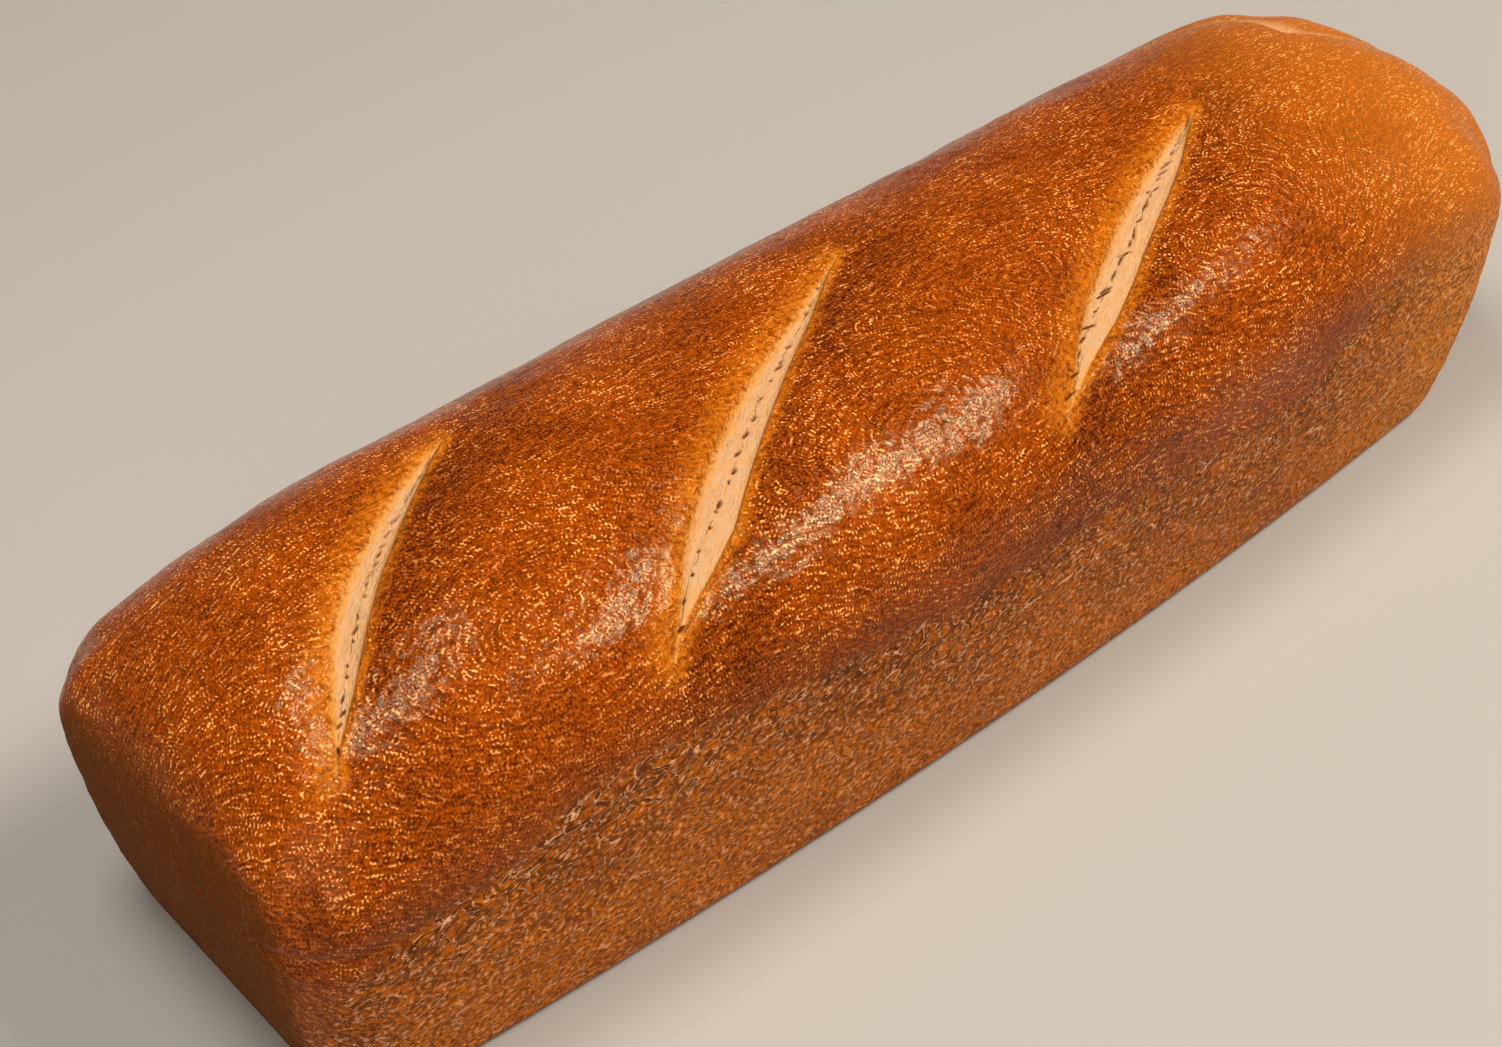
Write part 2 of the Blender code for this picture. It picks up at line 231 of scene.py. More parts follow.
# Skin of the dome: dough brushed with egg wash, which baked to a thin red-brown glaze. It shines
# softly and is covered with crinkled golden blisters. The real ones are about half a millimetre
# wide, and these are drawn slightly wider so that they show. Dried egg has an IOR of about 1.5,
# but a skin as crinkled as this one mirrors less, so its IOR is lower.
BLISTER_LENGTH = 0.85 * MM
BLISTER_WIDTH = 0.64 * MM
BLISTER_HEIGHT = 0.16 * MM
BLISTER_EDGE = (0.42, 0.51)
BLISTER_CREST = (0.61, 0.67)
# Share of tone that comes from the blisters: their hollows are painted darker, as painted shade
BLISTER_SHADE_TONE = 0.42
CREST_PATCHES = (0.4, 0.58)
CREST_SHARES = (0.2, 0.9)
LUMP_HEIGHT = 0.2 * MM
GLAZE_DARK = "#481600"
GLAZE_LIGHT = "#a84900"
# Pale colour of the blister crests: partly their own paler colour, partly painted glints
GLAZE_BLISTER_AND_GLINT = "#eeae62"
GLAZE_TONE = -0.25
GLAZE_IOR = 1.26
GLAZE_SHINE = "#fffccc"
GLAZE_ROUGHNESS = 0.19
GLAZE_EDGE_ROUGHNESS = 0.5
GLAZE_EDGE_REACH = 16 * MM
GLAZE_FAR = "#c8721c"
GLAZE_FAR_SHARE = 0.6
GLAZE_FAR_CALM = 0.4

# Skin that stretched beside the slashes: paler close to them, and deeper brown farther away on
# their high X side
HALO = "#d27614"
HALO_REACH = 9 * MM
HALO_HIGH_SIDE = 0.4
HALO_SHARE = 0.2
HALO_STREAKS = 0.6
DEEPER_REACH = 27 * MM
DEEPER_START = 4 * MM
DEEPER_TONE = 0.2

# Pale skin past the torn fold
FLAP = "#dca06a"
FLAP_SHARE = 0.8
FLAP_FADE = (4 * MM, 10 * MM)

# Walls: dough that baked against the greased tin. They are matt and dry, with slanting wrinkles a few
# millimetres apart and fine pits. Their crests are painted pale as painted highlights, with a dark
# line beside each crest as painted shadow, and the pits are painted dark as painted shade.
# Each set of wrinkles has its slant in degrees, length and spacing. A line lies where the noise
# passes a level: the level, and how far from it the line starts and is full.
WALL_WRINKLES = ((24, 7.5 * MM, 2.7 * MM), (6, 4 * MM, 2.1 * MM))
WALL_LINES = {"crest": (0.5, 0.035, 0), "groove": (0.44, 0.05, 0.015)}
WALL_LATTICE_TURN = 0.3
WALL_DISTORTION = 0.5
WALL_WRINKLE_HEIGHT = 0.4 * MM
WALL_WRINKLE_TONE = 0.65
# Dark line beside each wall crest, painted as shadow
WALL_GROOVE_SHADOW_SHARE = 0.8
WALL_CREST_BREAKS = (0.4, 0.52)
WALL_CREST_LEFT = 0.15
WALL_CREST_SHARPNESS = 2
WALL_PIT_WIDTH = 1.1 * MM
WALL_PIT_DEPTH = 0.25 * MM
WALL_PIT_EDGE = (0.42, 0.34)
WALL_PIT_SHARE = 0.6
WALL_SPECK_EDGE = (0.66, 0.72)
WALL_SPECK_SHARE = 0.5
WALL_CALM_DEPTH = 42 * MM
WALL_CALM_SHARE = 0.5
WALL_DARK = "#6c2a00"
WALL_MIDDLE = "#d67004"
# Pale colour on the walls' crests and specks, painted as highlights
WALL_CREST_HIGHLIGHT = "#f6b686"
# Dark colour in the walls' grooves and pits, painted as shade
WALL_HOLLOW_SHADE = "#341000"
WALL_TONE = 0.5
WALL_ROUGHNESS = 0.6
WALL_FAR = "#e08418"
WALL_FAR_SHARE = 0.7
WALL_FAR_CALM = 0.45

# End wall at low X, dull and smooth, whose colour is darkened as painted shade where it faces low X.
# The glaze fades out softly there, and at the far end of the long side too.
END_SHADE = "#5e2e06"
END_SHADE_SHARE = 0.85
END_ROUGHNESS = 0.9
END_FACING = (0.82, 0.985)
END_LINE_HEIGHT = 30 * MM
END_LINE_X = (-184 * MM, -191 * MM)
END_LINE_Y = (-50 * MM, -40 * MM)
END_LINE_BLEND = 5
FAR_LINE_X = (110 * MM, 180 * MM)
FAR_LINE_BLEND = 3
LINE_WANDER = 8 * MM
LINE_BLEND = 3.5 * MM

# Crumb: the open inside of the bread, torn apart as the slashes opened. It is pale in the middle
# and tan at its rim, dry and matt, in soft fibres that run along the slash. How far it reaches is
# given at the high X side and at the low X side.
CRUMB_CORE = "#c2986e"
CRUMB_EDGE = "#ce8a3c"
CRUMB_REACH = {"outer": (-0.3 * MM, -1.3 * MM), "inner": (0.1 * MM, 0.7 * MM),
               "core": (0.3 * MM, 2.2 * MM)}
CRUMB_RAGGED = 5 * MM
CRUMB_FIBRE_LENGTH = 3.5 * MM
CRUMB_FIBRE_WIDTH = 1.1 * MM
CRUMB_FIBRE_DEPTH = 0.6 * MM
CRUMB_DISTORTION = 1.8
CRUMB_TORN = (0.4, 0.62)
CRUMB_TORN_TONE = 0.7
CRUMB_TONE = 1.2
CRUMB_ROUGHNESS = 0.8

# Pores in the crumb, and the fine broken crack that joins them, both painted dark as painted shade
PORE_SHADE = "#6a3412"
CRACK_WANDER = 1.1 * MM
CRACK_BEND = 2.8 * MM
CRACK_WIDTH = 0.3 * MM
CRACK_DEPTH = 0.2 * MM
CRACK_BREAK = 4 * MM
CRACK_GAPS = (0.46, 0.56)
CRACK_SHARE = 0.4

# Camera at the photograph's angle
CAMERA_PLACE = (-335.25 * MM, -355.49 * MM, 466.56 * MM)
CAMERA_AIM = (-39.64 * MM, -0.18 * MM, 50 * MM)
CAMERA_ROLL = -1.794
CAMERA_LENS = 63.36
CAMERA_SENSOR = 36

# Studio: lights by name, direction, distance, width and height, power and colour
LIGHTS = (
    ("main_softbox", (0.43, -0.37, 0.82), 1.5, (0.66, 0.32), 21, "#fff5ea"),
    ("top_softbox", (-0.16, 0.1, 0.97), 1.5, (0.45, 0.45), 12.5, "#fff8f0"),
    ("end_softbox", (-0.7, -0.45, 0.55), 1.6, (1.3, 1.3), 13, "#fff8f0"),
)
SKY_COLOUR = "#f6f2ec"
SKY_STRENGTH = 0.06
FLOOR_SIZE = 6
FLOOR_COLOUR = "#a8a49d"
FLOOR_ROUGHNESS = 0.9


def linear_colour(text):
    """Turns an sRGB hex value into a linear colour with alpha."""
    parts = [int(text[i:i + 2], 16) / 255 for i in (1, 3, 5)]
    return [p / 12.92 if p <= 0.04045 else ((p + 0.055) / 1.055) ** 2.4 for p in parts] + [1]


def smooth_step(value, low, high):
    """Rises smoothly from 0 at low to 1 at high."""
    t = np.clip((value - low) / (high - low), 0, 1)
    return t * t * (3 - 2 * t)


def along(u):
    """Place along the loaf, from -1 to 1, and how far into an end's rounding it is, from 0 to 1."""
    cells = CELLS_LOW_X_END + CELLS_MIDDLE + CELLS_HIGH_X_END
    low = -1 + 2 * CELLS_LOW_X_END / cells
    high = 1 - 2 * CELLS_HIGH_X_END / cells
    half = SHOULDER_LENGTH / 2
    low_x = END_ROUNDING_LOW_X - half
    high_x = half - END_ROUNDING_HIGH_X
    power = 2 / DOME_ROUNDNESS
    into_low = np.sin(np.clip((low - u) / (low + 1), 0, 1) * math.pi / 2) ** power
    into_high = np.sin(np.clip((u - high) / (1 - high), 0, 1) * math.pi / 2) ** power
    middle = low_x + (np.clip(u, low, high) - low) / (high - low) * (high_x - low_x)
    x = middle - END_ROUNDING_LOW_X * into_low + END_ROUNDING_HIGH_X * into_high
    return x / half, into_low + into_high


def across(v):
    """Place across the loaf, from -1 to 1, in equal angles of the dome's arch."""
    return np.sign(v) * np.abs(np.sin(v * math.pi / 2)) ** (2 / DOME_ROUNDNESS)


def rounded_norm(first, second):
    """Size of a pair from 0 to 1: contours round off inside and meet the square's rim at 1."""
    out = np.clip(np.maximum(first, second), TINY, 1)
    power = CORNER_POWER_INNER + CORNER_POWER_GAIN * out ** CORNER_POWER_RISE
    root = (1 - out ** CORNER_RIM_BLEND) / power
    return out * ((first / out) ** power + (second / out) ** power) ** root


def plan(length_share, width_share, half_length, half_width):
    """Plan of the loaf: a rectangle with bowed long sides and rounded corners."""
    x = length_share * half_length
    bow = np.where(width_share < 0, SIDE_BOW_LOW_Y, SIDE_BOW_HIGH_Y) * (1 - length_share ** 2)
    side = half_width + bow
    y = width_share * side
    radius = np.where(length_share < 0, CORNER_RADIUS_LOW_X, CORNER_RADIUS_HIGH_X)
    past_x = np.clip((np.abs(x) - half_length) / radius + 1, 0, 1)
    past_y = np.clip((np.abs(y) - side) / radius + 1, 0, 1)
    in_corner = (past_x > 0) & (past_y > 0)
    reach = rounded_norm(past_x, past_y) / np.maximum(np.hypot(past_x, past_y), NOT_ZERO)
    x = np.where(in_corner, np.sign(x) * (half_length - radius + radius * past_x * reach), x)
    y = np.where(in_corner, np.sign(y) * (side - radius + radius * past_y * reach), y)
    return x, y + TIN_MIDDLE_Y


def surface(u, v, w):
    """Places on the smooth loaf, before its relief, for box coordinates from -1 to 1."""
    length_share, into_end = along(u)
    width_share = across(v)
    rows = (w + 1) / 2
    rise = rows - ROW_CROWDING * np.sin(2 * math.pi * rows) / (2 * math.pi)
    height = rise * SHOULDER_HEIGHT
    grow = WALL_BULGE * np.sin(math.pi * rise)
    under = np.clip(FOOT_EDGE_RADIUS - height, 0, FOOT_EDGE_RADIUS)
    tuck = FOOT_EDGE_RADIUS - np.sqrt(FOOT_EDGE_RADIUS ** 2 - under ** 2)
    half_length = (FOOT_LENGTH + (SHOULDER_LENGTH - FOOT_LENGTH) * rise) / 2 + grow - tuck
    half_width = (FOOT_WIDTH + (SHOULDER_WIDTH - FOOT_WIDTH) * rise) / 2 + grow - tuck
    x, y = plan(length_share, width_share, half_length, half_width)
    end_left = np.clip(1 - into_end ** DOME_ROUNDNESS, 0, 1)
    side_left = np.clip(1 - np.abs(width_share) ** DOME_ROUNDNESS, 0, 1)
    dome = DOME_HEIGHT - DOME_HEIGHT_LOSS * length_share
    dome = dome * (end_left * side_left) ** (1 / DOME_RIM_STEEPNESS)
    return np.stack([x, y, height + np.where(w > LID_ROW, dome, 0)], axis=-1)


def slash_place(x, y, slash):
    """Share of the way along a slash, distance aside from its bowed middle line, and its length."""
    start = np.array(slash["start"])
    run = np.array(slash["end"]) - start
    length = np.hypot(*run)
    run = run / length
    share = ((x - start[0]) * run[0] + (y - start[1]) * run[1]) / length
    aside = run[0] * (y - start[1]) - run[1] * (x - start[0])
    inside = np.clip(share, 0, 1)
    return share, aside + slash["bow"] * 4 * inside * (1 - inside), length


def slash_reach(share, aside, slash):
    """How far the opened cut reaches from its middle line, on the side that a point lies on."""
    places, low_side, high_side = np.array(slash["opening"]).T
    reach_low = np.interp(share, places, low_side)
    reach_high = np.interp(share, places, high_side)
    return MM * np.where(aside < 0, reach_low, reach_high)


def from_pore_line(share, aside, slash):
    """Distance aside from the wavering line that a slash's pores lie along."""
    places, line = np.array(slash["pore_line"]).T
    return aside - MM * np.interp(share, places, line)


def swell_relief(x, y):
    """Soft swellings between the slashes."""
    height = np.zeros_like(x)
    for middle_x, middle_y in SWELL_MIDDLES:
        height += SWELL_HEIGHT * np.exp(-((x - middle_x) / SWELL_REACH_X) ** 2
                                        - ((y - middle_y) / SWELL_REACH_Y) ** 2)
    return height


def fold_distance(x, y):
    """Distance past the fold's crest towards high X."""
    crest = FOLD_X - FOLD_SWEEP * (np.clip(y - FOLD_Y, 0, None) / FOLD_HALF_LENGTH) ** 3
    crest = crest + FOLD_TAIL_SLOPE * np.clip(FOLD_TAIL_START - y, 0, None)
    return x - crest


def fold_relief(x, y):
    """Step down past the fold's crest, fading out beyond it and at its two ends."""
    past = fold_distance(x, y)
    step = smooth_step(past, -FOLD_STEP / 2, FOLD_STEP / 2)
    fade = 1 - smooth_step(past, FOLD_STEP, FOLD_FADE)
    ends = np.exp(-((y - FOLD_Y) / (FOLD_END_SPREAD * FOLD_HALF_LENGTH)) ** 4)
    return -FOLD_DROP * step * fade * ends


def crease_relief(x, y, z):
    """Shallow crease round the loaf at the height of the tin's rim."""
    near = np.hypot(x - RIM_CREASE_CORNER[0], y - RIM_CREASE_CORNER[1])
    extra = (RIM_CREASE_CORNER_DEPTH - RIM_CREASE_DEPTH) * np.exp(-(near / RIM_CREASE_CORNER_REACH) ** 2)
    return -(RIM_CREASE_DEPTH + extra) * np.exp(-((z - RIM_CREASE_HEIGHT) / RIM_CREASE_REACH) ** 2)


def wave_relief(x, y, z):
    """Slow unevenness of hand-shaped dough."""
    first_length, second_length = WAVE_LENGTHS
    first_slant, second_slant = WAVE_SLANTS
    first_start, second_start = WAVE_STARTS
    first = np.sin(2 * math.pi * (x + first_slant * y) / first_length + first_start)
    first = first * np.cos(2 * math.pi * (y + z) / first_length)
    second = np.sin(2 * math.pi * (x + second_slant * y + z) / second_length + second_start)
    return WAVE_HEIGHT * (first + SECOND_WAVE_SHARE * second)


def slash_relief(x, y):
    """Depth of the cuts and of the broad valleys that they lie in."""
    depth = np.zeros_like(x)
    for slash in SLASHES:
        share, aside, _ = slash_place(x, y, slash)
        taper = smooth_step(share, -VALLEY_OVERRUN, 2 * VALLEY_OVERRUN)
        taper = taper * (1 - smooth_step(share, 1 - 2 * VALLEY_OVERRUN, 1 + VALLEY_OVERRUN))
        depth += VALLEY_DEPTH * taper * np.exp(-(aside / VALLEY_HALF_WIDTH) ** 2)
        half = slash_reach(share, aside, slash)
        edge = np.where(aside > 0, CUT_EDGE_SHARP, CUT_EDGE_SOFT)
        cut = 1 - smooth_step((np.abs(aside) - half) / edge, -1, 1)
        depth += SLASH_DEPTH * cut * np.minimum(half / SLASH_FULL_REACH, 1)
    return -depth


def outwards(points):
    """Direction from the nearest point of the spine, level below it."""
    spine_x = np.clip(points[:, 0], -SPINE_END_X, SPINE_END_X)
    spine_z = np.minimum(points[:, 2], SPINE_HEIGHT)
    away = points - np.stack([spine_x, np.zeros_like(spine_x), spine_z], axis=-1)
    return away / np.linalg.norm(away, axis=1, keepdims=True)


def skin_relief(points):
    """Wrinkles of the walls, slanting up to high X, and soft lumps and fine grain all over."""
    x, y, z = points.T
    slant = math.radians(WRINKLE_SLANT)
    turned = np.stack([x * math.cos(slant) + z * math.sin(slant), y,
                       z * math.cos(slant) - x * math.sin(slant)], axis=-1)
    turned += WRINKLE_STRAY * noise_at(points, WRINKLE_STRAY_LENGTHS, seed=3)[:, None]
    wrinkles = 0.5 - np.abs(noise_at(turned, WRINKLE_LENGTHS, seed=1))
    lumps = noise_at(points, LUMP_LENGTHS, seed=2)
    grain = noise_at(points, GRAIN_LENGTHS, seed=4)
    on_wall = 1 - smooth_step(z, *WRINKLE_FADE)
    return WRINKLE_RELIEF * wrinkles * on_wall + LUMP_RELIEF * lumps + GRAIN_RELIEF * grain


def relief(points):
    """Distance that each point moves outwards. The bottom stays flat."""
    x, y, z = points.T
    on_dome = smooth_step(z, SHOULDER_HEIGHT, DOME_RELIEF_HEIGHT)
    move = (slash_relief(x, y) + swell_relief(x, y) + fold_relief(x, y)) * on_dome
    move -= PORE_DEPTH * pore_amount(x, y) * on_dome
    off_bottom = smooth_step(z, 0, BOTTOM_RELIEF_HEIGHT)
    return move + (crease_relief(x, y, z) + wave_relief(x, y, z) + skin_relief(points)) * off_bottom


def get_points(mesh):
    """The mesh's points, as an array."""
    flat = np.empty(3 * len(mesh.vertices))
    mesh.vertices.foreach_get("co", flat)
    return flat.reshape(-1, 3)


def set_points(mesh, points):
    """Moves the mesh's points."""
    mesh.vertices.foreach_set("co", points.ravel())
    mesh.update()


def select_edges(mesh, chosen):
    """Selects only the chosen edges, for the next edit-mode operator."""
    mesh.vertices.foreach_set("select", np.zeros(len(mesh.vertices), bool))
    mesh.polygons.foreach_set("select", np.zeros(len(mesh.polygons), bool))
    mesh.edges.foreach_set("select", chosen)


def edge_ends(mesh):
    """Places of the two ends of every edge."""
    pairs = np.empty(2 * len(mesh.edges), int)
    mesh.edges.foreach_get("vertices", pairs)
    points = get_points(mesh)
    return points[pairs[0::2]], points[pairs[1::2]]


def edit(step, **settings):
    """Runs one edit-mode operator on what is selected of the active object."""
    bpy.ops.object.mode_set(mode="EDIT")
    step(**settings)
    bpy.ops.object.mode_set(mode="OBJECT")


def add_divided_box():
    """A box of fine cells, open below."""
    bpy.ops.object.select_all(action="DESELECT")
    bpy.ops.mesh.primitive_cube_add(size=2)
    loaf = bpy.context.object
    loaf.name = "loaf_crust"
    mesh = loaf.data
    for face in mesh.polygons:
        face.select = face.center.z < -0.5
    bpy.context.tool_settings.mesh_select_mode = (False, False, True)
    edit(bpy.ops.mesh.delete, type="ONLY_FACE")
    bpy.context.tool_settings.mesh_select_mode = (False, True, False)
    for axis, steps in enumerate((STEPS_ALONG, STEPS_ACROSS, STEPS_UP)):
        for cells in steps:
            first, second = edge_ends(mesh)
            select_edges(mesh, np.abs(first - second)[:, axis] > TINY)
            edit(bpy.ops.mesh.subdivide, number_cuts=cells - 1)
    return loaf


def close_bottom(mesh):
    """Fills the open rim at the bottom with one flat face."""
    first, second = edge_ends(mesh)
    select_edges(mesh, (first[:, 2] < TINY) & (second[:, 2] < TINY))
    edit(bpy.ops.mesh.edge_face_add)


def refine_near_slashes(mesh):
    """Divides the mesh once more along the slashes and the fold."""
    first, second = edge_ends(mesh)
    x, y, z = ((first + second) / 2).T
    wanted = (np.abs(fold_distance(x, y)) < REFINE_MARGIN) & (np.abs(y - FOLD_Y) < FOLD_HALF_LENGTH)
    for slash in SLASHES:
        share, aside, _ = slash_place(x, y, slash)
        near = np.abs(aside) < slash_reach(share, aside, slash) + REFINE_MARGIN
        wanted |= near & (share > -REFINE_OVERRUN) & (share < 1 + REFINE_OVERRUN)
    select_edges(mesh, wanted & (z > REFINE_ABOVE))
    edit(bpy.ops.mesh.subdivide, number_cuts=1, ngon=False)


def refine_along_pores(mesh):
    """Divides the middle line of each slash once again, for its pores."""
    first, second = edge_ends(mesh)
    x, y, z = ((first + second) / 2).T
    wanted = np.zeros(len(x), bool)
    for slash in SLASHES:
        share, aside, _ = slash_place(x, y, slash)
        off_line = from_pore_line(share, aside, slash)
        wanted |= (np.abs(off_line) < REFINE_PORES) & (share > 0) & (share < 1 + PORE_OVERRUN)
    select_edges(mesh, wanted & (z > REFINE_ABOVE))
    edit(bpy.ops.mesh.subdivide, number_cuts=1, ngon=False)


def noise_at(points, lengths, seed):
    """Smooth noise at each point, whose grains have the given lengths along the three axes."""
    places = points / np.asarray(lengths) + SEED_STEP * seed
    return np.array([noise.noise(place) for place in places.tolist()])


def pore_amount(x, y):
    """How deep in a pore each point is, from 0 to 1."""
    draw = np.random.default_rng(PORE_SEED)
    amount = np.zeros_like(x)
    for slash, (first, last, spacing, half_length, half_width, wander) in zip(SLASHES, PORES):
        share, aside, length = slash_place(x, y, slash)
        off_line = from_pore_line(share, aside, slash)
        here = (np.abs(off_line) < REFINE_PORES) & (share > 0) & (share < 1 + PORE_OVERRUN)
        run = share[here] * length
        side = off_line[here]
        found = np.zeros_like(run)
        place = first * length
        while place < last * length:
            centre = wander * draw.uniform(-1, 1)
            long = half_length * draw.uniform(*PORE_LENGTH_DRAW)
            wide = half_width * draw.uniform(*PORE_WIDTH_DRAW)
            tilt = draw.uniform(*PORE_TILT_DRAW)
            off = side - centre - tilt * (run - place)
            size = np.hypot((run - place) / long, off / wide)
            found = np.maximum(found, 1 - smooth_step(size, *PORE_EDGE))
            place += spacing * draw.uniform(*PORE_SPACING_DRAW)
        amount[here] = np.maximum(amount[here], found)
    return amount


def store(mesh, name, kind, values):
    """Keeps one value for each point, for the material to read."""
    layer = mesh.attributes.new(name, kind, "POINT")
    key = "vector" if kind == "FLOAT_VECTOR" else "value"
    layer.data.foreach_set(key, np.asarray(values, np.float32).ravel())


def flow_direction(points, normals):
    """Direction in which the skin's blisters are drawn out: along the loaf, round each swelling."""
    x, y = points[:, :2].T
    gradient = np.zeros_like(points)
    for middle_x, middle_y, strength, reach_x, reach_y in WHORLS:
        away_x = (x - middle_x) / reach_x
        away_y = (y - middle_y) / reach_y
        hill = strength * np.exp(-(away_x ** 2 + away_y ** 2) / 2)
        gradient[:, 0] -= hill * away_x / reach_x
        gradient[:, 1] -= hill * away_y / reach_y
    lengthways = np.array(FLOW_LENGTHWAYS)
    flow = lengthways - (normals @ lengthways)[:, None] * normals
    flow = flow + np.cross(normals, gradient)
    return flow / np.maximum(np.linalg.norm(flow, axis=1, keepdims=True), NOT_ZERO)


def nearest_cut(points):
    """Place along the nearest slash, across it from its pores, and how far inside its opening."""
    x, y, z = points.T
    best = np.full(len(points), -1.0)
    place = np.zeros((len(points), 3))
    for number, slash in enumerate(SLASHES):
        share, aside, length = slash_place(x, y, slash)
        half = slash_reach(share, aside, slash)
        past = np.clip(np.abs(share - 0.5) - 0.5, 0, None) * length
        inside = half - np.hypot(np.abs(aside), past)
        inside = np.where(z > SHOULDER_HEIGHT, inside, inside - (SHOULDER_HEIGHT - z))
        closer = inside > best
        best = np.where(closer, inside, best)
        here = np.stack([share * length + number * CUT_PATTERN_STEP,
                         from_pore_line(share, aside, slash), inside], axis=-1)
        place = np.where(closer[:, None], here, place)
    return place


def above_tin_line(points):
    """Height above the end of the glaze, made less at the two ends, where the glaze fades out."""
    x, y, z = points.T
    line_x, line_z = np.array(TIN_LINE).T * MM
    line = np.interp(x, line_x, line_z)
    on_end = smooth_step(x, *END_LINE_X) * smooth_step(y, *END_LINE_Y)
    line = line + (END_LINE_HEIGHT - line) * on_end
    softness = 1 + (END_LINE_BLEND - 1) * on_end + (FAR_LINE_BLEND - 1) * smooth_step(x, *FAR_LINE_X)
    return (z - line) / softness


def flap_amount(x, y):
    """Where the torn fold's pale lower skin shows, from 0 to 1."""
    past = fold_distance(x, y)
    shown = smooth_step(past, -FOLD_STEP / 2, FOLD_STEP / 2) * (1 - smooth_step(past, *FLAP_FADE))
    return shown * np.exp(-((y - FOLD_Y) / FOLD_HALF_LENGTH) ** 4)


def point_normals(mesh):
    """Normals of the mesh's points."""
    flat = np.empty(3 * len(mesh.vertices))
    mesh.vertices.foreach_get("normal", flat)
    return flat.reshape(-1, 3)


def make_loaf():
    """The loaf, one closed mesh."""
    loaf = add_divided_box()
    mesh = loaf.data
    set_points(mesh, surface(*get_points(mesh).T))
    close_bottom(mesh)
    refine_near_slashes(mesh)
    refine_along_pores(mesh)
    points = get_points(mesh)
    moved = points + outwards(points) * relief(points)[:, None]
    low = moved.min(axis=0)
    middle = (low + moved.max(axis=0)) / 2
    shift = np.array([middle[0], middle[1], low[2]])
    set_points(mesh, moved - shift)
    store(mesh, "flow", "FLOAT_VECTOR", flow_direction(points, point_normals(mesh)))
    store(mesh, "cut", "FLOAT_VECTOR", nearest_cut(points))
    store(mesh, "pore", "FLOAT", pore_amount(points[:, 0], points[:, 1]))
    store(mesh, "above_tin_line", "FLOAT", above_tin_line(points))
    store(mesh, "faces_low_x", "FLOAT", smooth_step(-point_normals(mesh)[:, 0], *END_FACING))
    store(mesh, "flap", "FLOAT", flap_amount(points[:, 0], points[:, 1]))
    bpy.ops.object.shade_smooth_by_angle(angle=math.radians(SMOOTH_ANGLE))
    return loaf


def add_node(tree, kind, inputs, out=0, **settings):
    """Adds a node with its settings and its links or values, and returns one of its outputs.

    A Mix node's inputs are 0 for its share, 2 and 3 for two numbers, and 6 and 7 for two colours,
    and its mixed colour is output 2.
    """
    node = tree.nodes.new(kind)
    for name, value in settings.items():
        setattr(node, name, value)
    for key, value in inputs.items():
        if isinstance(value, bpy.types.NodeSocket):
            tree.links.new(value, node.inputs[key])
        else:
            node.inputs[key].default_value = value
    return node.outputs[out]


def start_material(name):
    """A new material, with its tree and its shader."""
    material = bpy.data.materials.new(name)
    material.use_nodes = True
    return material, material.node_tree, material.node_tree.nodes["Principled BSDF"]


def drawn_out_noise(tree, place, heading, length, width, shares, detail):
    """Noise averaged over a few places along the heading, so that its grains are drawn out."""
    add = partial(add_node, tree)
    total = 0.0
    for share in shares:
        shift = add("ShaderNodeVectorMath", {0: heading, "Scale": share * length}, operation="SCALE")
        there = add("ShaderNodeVectorMath", {0: place, 1: shift}, operation="ADD")
        there = add("ShaderNodeMapping", {"Vector": there, "Rotation": LATTICE_TURN})
        sample = add("ShaderNodeTexNoise", {"Vector": there, "Scale": 1 / width, "Detail": detail})
        total = add("ShaderNodeMath", {0: total, 1: sample}, operation="ADD")
    return add("ShaderNodeMath", {0: total, 1: len(shares)}, operation="DIVIDE")


def read_skin(tree):
    """The loaf's places and stored values, and the patterns that several finishes share."""
    add = partial(add_node, tree)
    skin = SimpleNamespace()
    for name in ("above_tin_line", "faces_low_x", "flap", "pore"):
        setattr(skin, name, add("ShaderNodeAttribute", {}, "Fac", attribute_name=name))
    skin.place = add("ShaderNodeTexCoord", {}, "Object")
    skin.cut = add("ShaderNodeAttribute", {}, "Vector", attribute_name="cut")
    skin.aside = add("ShaderNodeSeparateXYZ", {0: skin.cut}, "Y")
    skin.inside = add("ShaderNodeSeparateXYZ", {0: skin.cut}, "Z")
    skin.low_side = add("ShaderNodeMapRange", {"Value": skin.aside, "From Min": SIDE_BLEND,
                                               "From Max": -SIDE_BLEND})
    place_x = add("ShaderNodeSeparateXYZ", {0: skin.place}, "X")
    skin.far = add("ShaderNodeMapRange", {"Value": place_x, "From Min": FAR_START, "From Max": FAR_END},
                   interpolation_type="SMOOTHSTEP")

    flow = add("ShaderNodeAttribute", {}, "Vector", attribute_name="flow")
    stray = add("ShaderNodeTexNoise", {"Vector": skin.place, "Scale": 1 / FLOW_STRAY_LENGTH,
                                       "Detail": 0}, "Color")
    stray = add("ShaderNodeVectorMath", {0: stray, 1: (NOISE_MIDDLE,) * 3}, operation="SUBTRACT")
    heading = add("ShaderNodeVectorMath", {0: stray, 1: (FLOW_STRAY,) * 3, 2: flow},
                  operation="MULTIPLY_ADD")
    draw_out = partial(drawn_out_noise, tree, skin.place, heading)
    skin.blister_noise = draw_out(BLISTER_LENGTH, BLISTER_WIDTH, BLISTER_SHARES, detail=0)
    skin.streak_noise = draw_out(STREAK_LENGTH, STREAK_WIDTH, STREAK_SHARES, detail=1)
    skin.streaks = add("ShaderNodeMapRange", {"Value": skin.streak_noise, "From Min": STREAK_RANGE[0],
                                              "From Max": STREAK_RANGE[1]})
    skin.lumps = add("ShaderNodeTexNoise", {"Vector": skin.place, "Scale": 1 / LUMP_WIDTH, "Detail": 0})
    skin.patches = add("ShaderNodeTexNoise", {"Vector": skin.place, "Scale": 1 / PATCH_WIDTH,
                                              "Detail": PATCH_DETAIL})
    return skin


